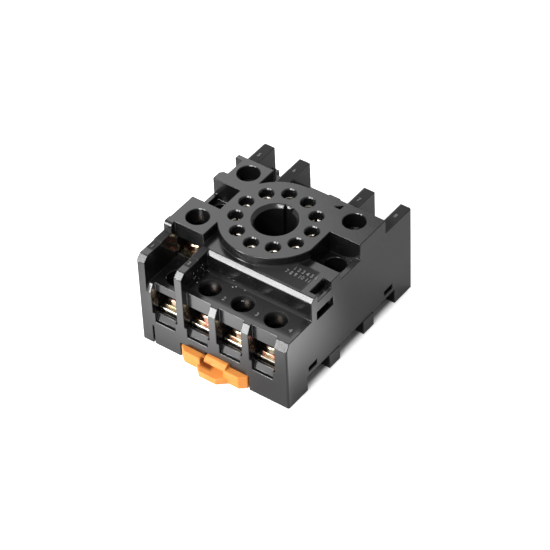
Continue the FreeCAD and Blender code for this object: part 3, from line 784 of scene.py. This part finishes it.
@dataclass
class Housing(FramePiece):
    """The black moulding, whose lower sills get a slope and whose guide bore a wide lead-in."""

    sill_out_mm: float = 4.7       # from a screw's axis to the edge of its sill
    sill_z_mm: float = 7.3
    sill_half_mm: float = 2.95
    slope_mm: float = 0.6
    mouth_radii_mm: Span = (5.25, 5.45)        # upper ring of the bore's chamfer
    mouth_heights_mm: Span = (28.99, 29.01)
    mouth_grow: float = 1.075
    throat_radii_mm: Span = (4.8, 5.28)        # its lower ring
    throat_heights_mm: Span = (28.5, 28.98)
    throat_drop_mm: float = 0.4

    def reshape(self, piece: Piece) -> None:
        """Gives the holes and the guide bore their lead-ins and slopes the sills.

        Args:
            piece: copy of the node.
        """
        super().reshape(piece)
        self.widen_mouth(piece)
        for number in range(1, LOWER_COUNT + 1):
            axis = screw_axis_mm(number)
            outward = -1 if axis.y < SEAT_Y_MM else 1
            choose(piece, Element.POINT, lambda point, axis=axis, outward=outward: self.on_sill(
                point.co / MM, axis, outward))
            bpy.ops.transform.translate(value=(0, outward * self.slope_mm * MM, 0))
            leave()

    def on_sill(self, place: Vector, axis: Vector, outward: int) -> bool:
        """Tells whether a point lies on the edge of a terminal's sill.

        Args:
            place: the point, in millimetres.
            axis: place of the terminal's screw, in millimetres.
            outward: sign of the side that the terminal opens to.

        Returns:
            True where it does.
        """
        return (abs(place.z - self.sill_z_mm) < NEAR_MM
                and abs(place.y - axis.y - outward * self.sill_out_mm) < NEAR_MM
                and abs(place.x - axis.x) < self.sill_half_mm + NEAR_MM)

    def round_guide(self, place: Vector, radii_mm: Span, heights_mm: Span) -> bool:
        """Tells whether a point lies in a band round the guide axis.

        Args:
            place: the point, in millimetres.
            radii_mm: inner and outer radius of the band.
            heights_mm: lower and upper end of the band.

        Returns:
            True where it does.
        """
        away = math.hypot(place.x, place.y - SEAT_Y_MM)
        return radii_mm[0] < away < radii_mm[1] and heights_mm[0] < place.z < heights_mm[1]

    def widen_mouth(self, piece: Piece) -> None:
        """Grows the upper ring of the guide bore's chamfer and lowers its lower ring.

        Args:
            piece: copy of the node.
        """
        choose(piece, Element.POINT, lambda point: self.round_guide(
            point.co / MM, self.mouth_radii_mm, self.mouth_heights_mm))
        bpy.ops.transform.resize(value=(self.mouth_grow, self.mouth_grow, 1),
                                 center_override=(0, SEAT_Y_MM * MM, SEAT_Z_MM * MM))
        leave()
        choose(piece, Element.POINT, lambda point: self.round_guide(
            point.co / MM, self.throat_radii_mm, self.throat_heights_mm))
        bpy.ops.transform.translate(value=(0, 0, -self.throat_drop_mm * MM))
        leave()


@dataclass
class Contact(FramePiece):
    """A contact strip: its plate gets a rounded front lip and its sleeve a raised, flared mouth."""

    lip_mm: float = 0.28
    lip_segments: int = 3
    neck_mm: float = 0.3
    neck_outer_mm: float = 1.65
    flare_mm: float = 0.25
    mouth_inner_mm: float = 1.5
    wall_middle_mm: float = 1.5    # parts the sleeve's inner side from its outer one
    level: float = 0.9             # least rise of a level face's normal

    def reshape(self, piece: Piece) -> None:
        """Rounds the plate's front edge and raises the sleeve into the pin hole.

        Args:
            piece: copy of the node.
        """
        low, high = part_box(self.node)
        top = high[2]
        ring = [point.co for point in piece.data.vertices if near(point.co.z, top)]
        middle = sum(ring, Vector()) / len(ring)
        front = low[1] if abs(low[1] - middle.y) > abs(high[1] - middle.y) else high[1]
        plate_top = max(point.co.z for point in piece.data.vertices if near(point.co.y, front))
        choose(piece, Element.EDGE, lambda edge: all(
            near(end.y, front) and near(end.z, plate_top) for end in ends(piece, edge)))
        bpy.ops.mesh.bevel(offset=self.lip_mm * MM, segments=self.lip_segments, affect="EDGES")
        leave()
        self.raise_ring(piece, middle, top, self.neck_mm, self.neck_outer_mm, True)
        top += self.neck_mm * MM
        self.raise_ring(piece, middle, top, self.flare_mm, self.mouth_inner_mm, False)

    def raise_ring(self, piece: Piece, middle: Vector, top: float, rise_mm: float,
                   radius_mm: float, outer: bool) -> None:
        """Extrudes the sleeve's top and brings one side of the new ring to a radius.

        Args:
            piece: contact at work.
            middle: middle of the sleeve.
            top: height of its top, in metres.
            rise_mm: height of the step.
            radius_mm: new radius of the ring's side.
            outer: whether that is the outer side.
        """
        def on_side(point: bpy.types.MeshVertex) -> bool:
            """Tells whether a point lies on that side of the new ring.

            Args:
                point: point of the contact.

            Returns:
                True where it does.
            """
            away = (point.co - middle).xy.length
            return (near(point.co.z, top + rise_mm * MM)
                    and (away > self.wall_middle_mm * MM) == outer)

        choose(piece, Element.FACE, lambda face: (
            near(face.center.z, top) and face.normal.z > self.level))
        bpy.ops.mesh.extrude_region_move(TRANSFORM_OT_translate={"value": (0, 0, rise_mm * MM)})
        leave()
        reach = max((point.co - middle).xy.length for point in piece.data.vertices
                    if on_side(point))
        choose(piece, Element.POINT, on_side)
        ratio = radius_mm * MM / reach
        bpy.ops.transform.resize(value=(ratio, ratio, 1), center_override=middle)
        leave()


@dataclass
class ClampScrew:
    """The captive screw of a terminal: threaded shank, cheese head, slot and cross recess."""

    head_r_mm: float = 2.9
    head_h_mm: float = 2.0
    head_chamfer_mm: float = 0.35
    shank_r_mm: float = 1.7
    shank_mm: float = 5.8
    thread_pitch_mm: float = 0.6
    thread_deep_mm: float = 0.22
    plain_turns: float = 2.0       # turns without thread under the head
    slot_mm: float = 8.7           # runs past the head on both sides
    slot_w_mm: float = 0.9
    slot_deep_mm: float = 1.1
    cross_mm: float = 1.485
    cross_w_mm: float = 0.85
    cross_deep_mm: float = 1.3
    edge_mm: float = 0.07
    segments: int = 2
    crease_deg: float = 30.0
    sides: int = 36

    def ring(self, rise_mm: float, ratio: float) -> None:
        """Extrudes the selected end by a step and scales it."""
        bpy.ops.mesh.extrude_region_move(TRANSFORM_OT_translate={"value": (0, 0, rise_mm * MM)})
        bpy.ops.transform.resize(value=(ratio, ratio, 1))

    def turned(self) -> Piece:
        """Raises the shank and head ring by ring from the screw's end.

        Returns:
            The screw without its slot and recess.
        """
        root_mm = self.shank_r_mm - self.thread_deep_mm
        now_mm = root_mm - self.thread_deep_mm
        half_mm = self.thread_pitch_mm / 2
        deselect()
        bpy.ops.mesh.primitive_circle_add(vertices=self.sides, radius=now_mm * MM,
                                          fill_type="NGON", location=(0, 0, -self.shank_mm * MM))
        bpy.ops.object.mode_set(mode="EDIT")
        bpy.ops.mesh.select_all(action="SELECT")
        steps = [(half_mm, root_mm)]
        threaded_mm = self.shank_mm - self.plain_turns * self.thread_pitch_mm
        while sum(step for step, _ in steps) < threaded_mm:
            steps += [(half_mm, self.shank_r_mm), (half_mm, root_mm)]
        steps += [
            (self.shank_mm - sum(step for step, _ in steps), root_mm),
            (0.0, self.head_r_mm),
            (self.head_h_mm - self.head_chamfer_mm, self.head_r_mm),
            (self.head_chamfer_mm, self.head_r_mm - self.head_chamfer_mm),
        ]
        for rise_mm, radius_mm in steps:
            self.ring(rise_mm, radius_mm / now_mm)
            now_mm = radius_mm
        bpy.ops.mesh.select_all(action="SELECT")
        bpy.ops.mesh.normals_make_consistent(inside=False)
        screw = bpy.context.object
        screw.name = "clamp_screw_pattern"
        settle(screw)
        return screw

    def cutter(self, length_mm: float, width_mm: float, deep_mm: float) -> Piece:
        """Makes a block that cuts a groove into the head.

        Args:
            length_mm: length along X.
            width_mm: width along Y.
            deep_mm: depth below the top of the head.

        Returns:
            The block.
        """
        deselect()
        bpy.ops.mesh.primitive_cube_add(size=1, location=(0, 0, 0))
        block = bpy.context.object
        block.scale = (length_mm * MM, width_mm * MM, 2 * deep_mm * MM)
        block.location = (0, 0, self.head_h_mm * MM)
        settle(block)
        return block

    def pattern(self) -> Piece:
        """Models one finished screw whose head stands on the plane z = 0.

        Returns:
            The screw.
        """
        screw = self.turned()
        slot = self.cutter(self.slot_mm, self.slot_w_mm, self.slot_deep_mm)
        cross = self.cutter(self.cross_mm, self.cross_w_mm, self.cross_deep_mm)
        cross.data.transform(Matrix.Rotation(math.pi / 2, 4, "Z"))
        for cutter in (slot, cross):
            modify(screw, "BOOLEAN", operation="DIFFERENCE", solver="EXACT", object=cutter)
            discard(cutter)
        smooth(screw, self.crease_deg)
        round_edges(screw, self.edge_mm, self.segments, self.crease_deg)
        return screw


@dataclass
class ClampWasher:
    """The square pressure washer under a screw's head."""

    side_mm: float = 5.8
    thick_mm: float = 0.9
    corner_mm: float = 0.6
    corner_segments: int = 5
    hole_r_mm: float = 1.9
    hole_sides: int = 32
    drill_mm: float = 3.6          # runs past the washer on both sides
    edge_mm: float = 0.1
    segments: int = 2
    crease_deg: float = 30.0

    def pattern(self) -> Piece:
        """Models one finished washer whose top lies on the plane z = 0.

        Returns:
            The washer.
        """
        deselect()
        bpy.ops.mesh.primitive_cube_add(size=1, location=(0, 0, 0))
        washer = bpy.context.object
        washer.name = "clamp_washer_pattern"
        washer.scale = (self.side_mm * MM, self.side_mm * MM, self.thick_mm * MM)
        washer.location = (0, 0, -self.thick_mm / 2 * MM)
        settle(washer)
        choose(washer, Element.EDGE, lambda edge: not near(*(end.z for end in ends(washer, edge))))
        bpy.ops.mesh.bevel(offset=self.corner_mm * MM, segments=self.corner_segments,
                           affect="EDGES")
        deselect()
        bpy.ops.mesh.primitive_cylinder_add(vertices=self.hole_sides, radius=self.hole_r_mm * MM,
                                            depth=self.drill_mm * MM, location=(0, 0, 0))
        drill = bpy.context.object
        modify(washer, "BOOLEAN", operation="DIFFERENCE", solver="EXACT", object=drill)
        discard(drill)
        smooth(washer, self.crease_deg)
        round_edges(washer, self.edge_mm, self.segments, self.crease_deg)
        return washer


@dataclass(frozen=True)
class Mark:
    """A plain number on the housing, in millimetres."""

    text: str
    place: Point
    height: float = 1.2


@dataclass
class Numerals:
    """Small raised plain numbers, where the moulding carries its marking; their grey colour is
    painted highlight.
    """

    rise_mm: float = 0.14
    sunk_mm: float = 0.03
    edge_mm: float = 0.07
    weld_mm: float = 0.001
    font_ratio: float = 1.38       # size of the font for figures one high
    resolution: int = 3
    hole_numbers: tuple[int, ...] = (2, 3, 4)
    hole_shift_mm: Span = (4.9, -1.2)
    fin_numbers: tuple[int, ...] = (5, 6, 7, 8)
    fin_y_mm: float = 22.4
    wall_numbers: tuple[int, ...] = (1, 2)
    wall_y_mm: float = -18.6
    wall_height_mm: float = 1.0
    shelf_marks: tuple[Mark, ...] = (
        Mark("1 2 3 4 5 6", (14.9, -6.6, SHELF_Z_MM), 1.1),
        Mark("7 8 9 10 11", (14.0, -8.3, SHELF_Z_MM), 1.1),
    )

    def marks(self) -> list[Mark]:
        """Places the numbers.

        Returns:
            Those beside the front holes, on the fins, on the walls and on the shelf.
        """
        made = []
        for number in self.hole_numbers:
            axis = screw_axis_mm(number)
            made.append(Mark(str(number), (axis.x + self.hole_shift_mm[0],
                                           axis.y + self.hole_shift_mm[1], DECK_Z_MM[number])))
        made += [Mark(str(number), (x, self.fin_y_mm, FIN_Z_MM))
                 for number, x in zip(self.fin_numbers, FIN_X_MM)]
        made += [Mark(str(number), (x, self.wall_y_mm, WALL_Z_MM), self.wall_height_mm)
                 for number, x in zip(self.wall_numbers, WALL_X_MM)]
        return made + list(self.shelf_marks)

    def raised(self, mark: Mark) -> Piece:
        """Turns one number into a mesh at its place.

        Args:
            mark: number to make.

        Returns:
            The mesh, sunk a little into the housing.
        """
        bpy.ops.object.text_add(location=(0, 0, 0))
        data = bpy.context.object.data
        data.body = mark.text
        data.size = mark.height * self.font_ratio * MM
        data.align_x = "CENTER"
        data.align_y = "CENTER"
        data.resolution_u = self.resolution
        data.extrude = ((self.rise_mm + self.sunk_mm) / 2 - self.edge_mm) * MM
        data.bevel_depth = self.edge_mm * MM
        data.offset = -self.edge_mm / 2 * MM
        bpy.ops.object.convert(target="MESH")
        text = bpy.context.object
        up = Vector((0, 0, (self.rise_mm - self.sunk_mm) / 2 * MM))
        text.location = Vector(mark.place) * MM + up
        settle(text)
        return text

    def build(self, material: bpy.types.Material) -> None:
        """Makes the numbers, joins them and sets them on the housing.

        Args:
            material: finish of the numbers.
        """
        made = []
        for mark in self.marks():
            deselect()
            made.append(self.raised(mark))
        deselect()
        for text in made:
            text.select_set(True)
        bpy.context.view_layer.objects.active = made[0]
        bpy.ops.object.join()
        numbers = bpy.context.object
        numbers.name = "housing_numerals"
        bpy.ops.object.mode_set(mode="EDIT")
        bpy.ops.mesh.select_all(action="SELECT")
        bpy.ops.mesh.remove_doubles(threshold=self.weld_mm * MM)
        bpy.ops.mesh.normals_make_consistent(inside=False)
        leave()
        dress(numbers, material, "socket")


@dataclass
class TerminalHardware:
    """Screws, washers and contacts of all the terminals."""

    screw: ClampScrew
    washer: ClampWasher
    contact_edge_mm: float = 0.09

    def place(self, pattern: Piece, nodes: str, bodies: str, slot: Slot,
              material: bpy.types.Material, rise_mm: float = 0.0) -> None:
        """Sets a copy of a pattern in every terminal and deletes the pattern.

        Args:
            pattern: finished screw or washer.
            nodes: names of the nodes that the copies replace.
            bodies: names of the bodies that they ride on.
            slot: material slot of the record; not used.
            material: finish of the copies.
            rise_mm: height of the pattern's origin over the top of its node.
        """
        for number in range(1, TERMINAL_COUNT + 1):
            node = nodes % number
            piece = copy_of(pattern, node + "_turned")
            piece.location = node_centre(node) + Vector((0, 0, rise_mm * MM))
            settle(piece)
            dress(piece, material, bodies % number, node)
        discard(pattern)

    def build(self, effects: Effects) -> None:
        """Models one screw and one washer for all the terminals, and dresses the contacts.

        Args:
            effects: shared node groups.
        """
        self.place(self.screw.pattern(), SCREW_NODE, "screw_%02d", Slot.SCREW,
                   SCREW_STEEL.material(effects), -self.screw.head_h_mm)
        self.place(self.washer.pattern(), WASHER_NODE, "clamp_%02d", Slot.WASHER,
                   WASHER_STEEL.material(effects))
        metal = CONTACT_METAL.material(effects)
        for number in range(1, TERMINAL_COUNT + 1):
            node = CONTACT_NODE % number
            Contact(node, node + "_strip", "socket", Slot.CONTACT,
                    edge_mm=self.contact_edge_mm).build(metal)


# Studio


@dataclass
class Camera:
    """The photograph's camera, round a target on the body's middle line."""

    azimuth_deg: float = 38.04
    elevation_deg: float = 42.73
    distance_mm: float = 647.9
    slide_right_mm: float = -0.40
    slide_up_mm: float = -0.07
    focal_px: float = 2747.9
    roll_deg: float = -2.70
    target_mm: Point = (0.0, BODY_CENTRE_Y_MM, 12.0)
    clip_start_m: float = 0.01

    def build(self) -> None:
        """Adds the camera and makes it the scene's own."""
        azimuth = math.radians(self.azimuth_deg)
        elevation = math.radians(self.elevation_deg)
        roll = math.radians(self.roll_deg)
        back = Vector((math.sin(azimuth) * math.cos(elevation),
                       -math.cos(azimuth) * math.cos(elevation), math.sin(elevation)))
        level = Vector((math.cos(azimuth), math.sin(azimuth), 0.0))
        upward = back.cross(level)
        place = (Vector(self.target_mm) + back * self.distance_mm
                 + level * self.slide_right_mm + upward * self.slide_up_mm) * MM
        right = level * math.cos(roll) + upward * math.sin(roll)
        up = upward * math.cos(roll) - level * math.sin(roll)
        lens = bpy.data.cameras.new("camera")
        lens.lens = self.focal_px / IMAGE_PX * SENSOR_MM
        lens.sensor_width = SENSOR_MM
        lens.sensor_fit = "HORIZONTAL"
        lens.clip_start = self.clip_start_m
        camera = bpy.data.objects.new("camera", lens)
        turn = Matrix((right, up, back)).transposed().to_4x4()
        camera.matrix_world = Matrix.Translation(place) @ turn
        bpy.context.scene.collection.objects.link(camera)
        bpy.context.scene.camera = camera


@dataclass(frozen=True)
class SoftBox:
    """A white area lamp that faces the socket."""

    name: str
    direction: Point
    distance_m: float
    width_m: float
    height_m: float
    radiance: float

    def build(self) -> None:
        """Adds the lamp, with the power that gives its radiance."""
        lamp = bpy.data.lights.new(self.name, "AREA")
        lamp.shape = "RECTANGLE"
        lamp.size = self.width_m
        lamp.size_y = self.height_m
        lamp.energy = self.radiance * math.pi * self.width_m * self.height_m
        holder = bpy.data.objects.new(self.name, lamp)
        towards = Vector(self.direction).normalized()
        holder.location = towards * self.distance_m
        holder.rotation_euler = towards.to_track_quat("Z", "Y").to_euler()
        holder.visible_camera = False
        bpy.context.scene.collection.objects.link(holder)


@dataclass(frozen=True)
class Pool:
    """A bright round patch of the floor, seen only in reflections; lengths in millimetres."""

    middle: Point
    glow: float
    inner: float
    outer: float

    def level(self, web: Web, place: Socket) -> Socket:
        """Adds the patch to the floor's material.

        Args:
            web: the material's nodes.
            place: socket of the place on the floor.

        Returns:
            The patch's level there.
        """
        away = web.add("ShaderNodeVectorMath", {0: place, 1: Vector(self.middle) * MM},
                       operation="DISTANCE")
        return web.remap(away.outputs["Value"], (self.inner * MM, self.outer * MM),
                         (self.glow, 0.0), interpolation_type="SMOOTHSTEP")


@dataclass
class Studio:
    """Floor, world, lamps and camera."""

    floor_m: float = 6.0
    floor_drop_mm: float = 0.02
    floor_colour: Colour = (0.80, 0.80, 0.80)
    floor_rough: float = 0.9
    floor_specular: float = 0.1
    floor_white: float = 0.68
    pools: tuple[Pool, ...] = (
        Pool((-13.0, -53.0, 0.0), glow=3.8, inner=6.0, outer=36.0),
        Pool((50.0, -8.0, 0.0), glow=2.5, inner=10.0, outer=30.0),
    )
    # Painted shadow: inside this box round the socket's footprint the floor's white glow fades to
    # nothing, leaving only the real, darker lit floor.
    painted_shadow_zone: Zone = Zone((0.0, 3.5, 0.0), (19.8, 19.5, 1.0), 2.3)
    world_level: float = 0.25
    world_glow: float = 0.60
    lamps: tuple[SoftBox, ...] = (
        SoftBox("front_left_box", (-0.452, -0.80, 0.38), distance_m=0.60,
                width_m=0.12, height_m=0.48, radiance=26.0),
        SoftBox("front_box", (0.06, -0.68, 0.72), distance_m=0.60,
                width_m=0.22, height_m=0.16, radiance=23.0),
        SoftBox("rear_left_box", (-0.233, 0.146, 0.237), distance_m=0.363,
                width_m=0.24, height_m=0.30, radiance=2.2),
    )

    def floor_material(self, effects: Effects) -> bpy.types.Material:
        """Builds the floor's material: white to the camera except under the socket, where its glow
        fades out as painted shadow.

        Args:
            effects: shared node groups.

        Returns:
            The material.
        """
        made = bpy.data.materials.new("studio_floor")
        made.use_nodes = True
        web = Web(made.node_tree)
        path = web.add("ShaderNodeLightPath").outputs
        place = web.add("ShaderNodeTexCoord").outputs["Object"]
        # Painted shadow: the white that the camera sees drops to nothing inside the shade zone.
        white = web.remap(self.painted_shadow_zone.mask(web, effects), target=(self.floor_white, 0.0))
        seen = web.sum("MULTIPLY", path["Is Camera Ray"], white)
        glow: object = 0.0
        for pool in self.pools:
            glow = web.sum("ADD", pool.level(web, place), glow)
        mirrored = web.sum("MULTIPLY", path["Is Glossy Ray"], glow)
        web.feed(web.end("ShaderNodeBsdfPrincipled"), {
            "Base Color": (*self.floor_colour, 1), "Roughness": self.floor_rough,
            "Specular IOR Level": self.floor_specular, "Emission Color": (1, 1, 1, 1),
            "Emission Strength": web.sum("ADD", seen, mirrored),
        })
        return made

    def floor(self, effects: Effects) -> None:
        """Adds the pale floor, which looks white; under the socket its glow fades out, so the
        shadow there is partly real and partly painted.

        Args:
            effects: shared node groups.
        """
        deselect()
        bpy.ops.mesh.primitive_plane_add(size=self.floor_m,
                                         location=(0, 0, -self.floor_drop_mm * MM))
        floor = bpy.context.object
        floor.name = "studio_floor"
        floor.data.materials.append(self.floor_material(effects))

    def world(self) -> None:
        """Lights from all round at an even level, white where the camera sees it."""
        world = bpy.data.worlds.new("studio_world")
        bpy.context.scene.world = world
        world.use_nodes = True
        web = Web(world.node_tree)
        path = web.add("ShaderNodeLightPath").outputs
        glossy = web.remap(path["Is Glossy Ray"], target=(self.world_level, self.world_glow))
        web.feed(web.end("ShaderNodeBackground"), {
            "Color": (1, 1, 1, 1), "Strength": web.sum("MAXIMUM", path["Is Camera Ray"], glossy),
        })

    def build(self, effects: Effects) -> None:
        """Adds everything round the socket.

        Args:
            effects: shared node groups.
        """
        bpy.context.scene.view_settings.view_transform = "Standard"
        self.floor(effects)
        self.world()
        for lamp in self.lamps:
            lamp.build()
        Camera().build()


def main() -> None:
    """Builds the socket's looks and the studio."""
    logging.basicConfig(level=logging.INFO, format="%(message)s")
    effects = make_effects()
    Housing("housing", "housing_moulding", "socket", Slot.HOUSING,
            rims=(*pin_rims(), *access_rims())).build(HOUSING_BLACK.material(effects))
    Numerals().build(NUMERAL_PAINTED_HIGHLIGHT.material(effects))
    FramePiece("base_plate", "base_plate_moulding", "socket", Slot.BASE,
               edge_mm=0.1).build(BASE_BLACK.material(effects))
    FramePiece("rail_clip", "rail_clip_moulding", "clip", Slot.CLIP,
               edge_mm=0.2, segments=3).build(CLIP_ORANGE.material(effects))
    TerminalHardware(ClampScrew(), ClampWasher()).build(effects)
    Studio().build(effects)


if __name__ == "__main__":
    main()
